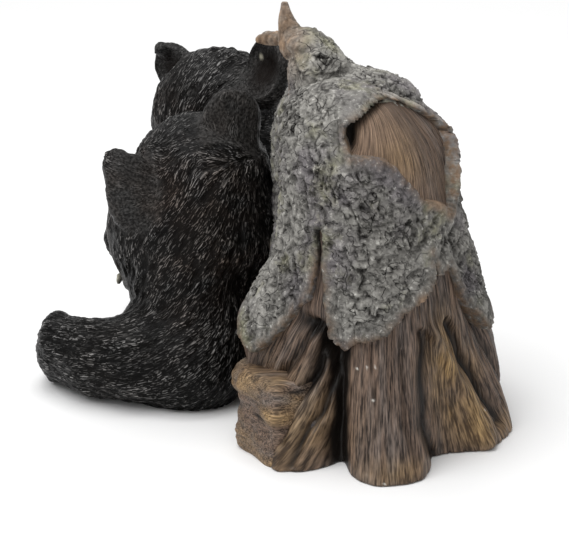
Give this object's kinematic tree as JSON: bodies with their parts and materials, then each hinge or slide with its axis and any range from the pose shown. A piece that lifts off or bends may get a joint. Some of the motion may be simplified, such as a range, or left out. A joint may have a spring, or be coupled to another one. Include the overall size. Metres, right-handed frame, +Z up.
{
  "type": "bear cub statue",
  "caption": "Garden statue of seated bear cubs hugging in front of a broken tree stump with peeling bark, cast in one piece with a flat underside.",
  "frame": {"origin": "middle of the statue's bounding box in plan, on the flat underside", "axes": "+Z up; the cubs' side, which is the front of the statue, faces -Y; the broken stump is behind them towards +Y"},
  "size_m": [0.266, 0.4198, 0.3172],
  "materials": {
    "painted_resin": "hand-painted cast resin, near-black fur with brown glaze, grey bark and brown wood, satin"
  },
  "bodies": {
    "root": {"bear_cubs_and_stump": "painted_resin"}
  },
  "joints": []
}
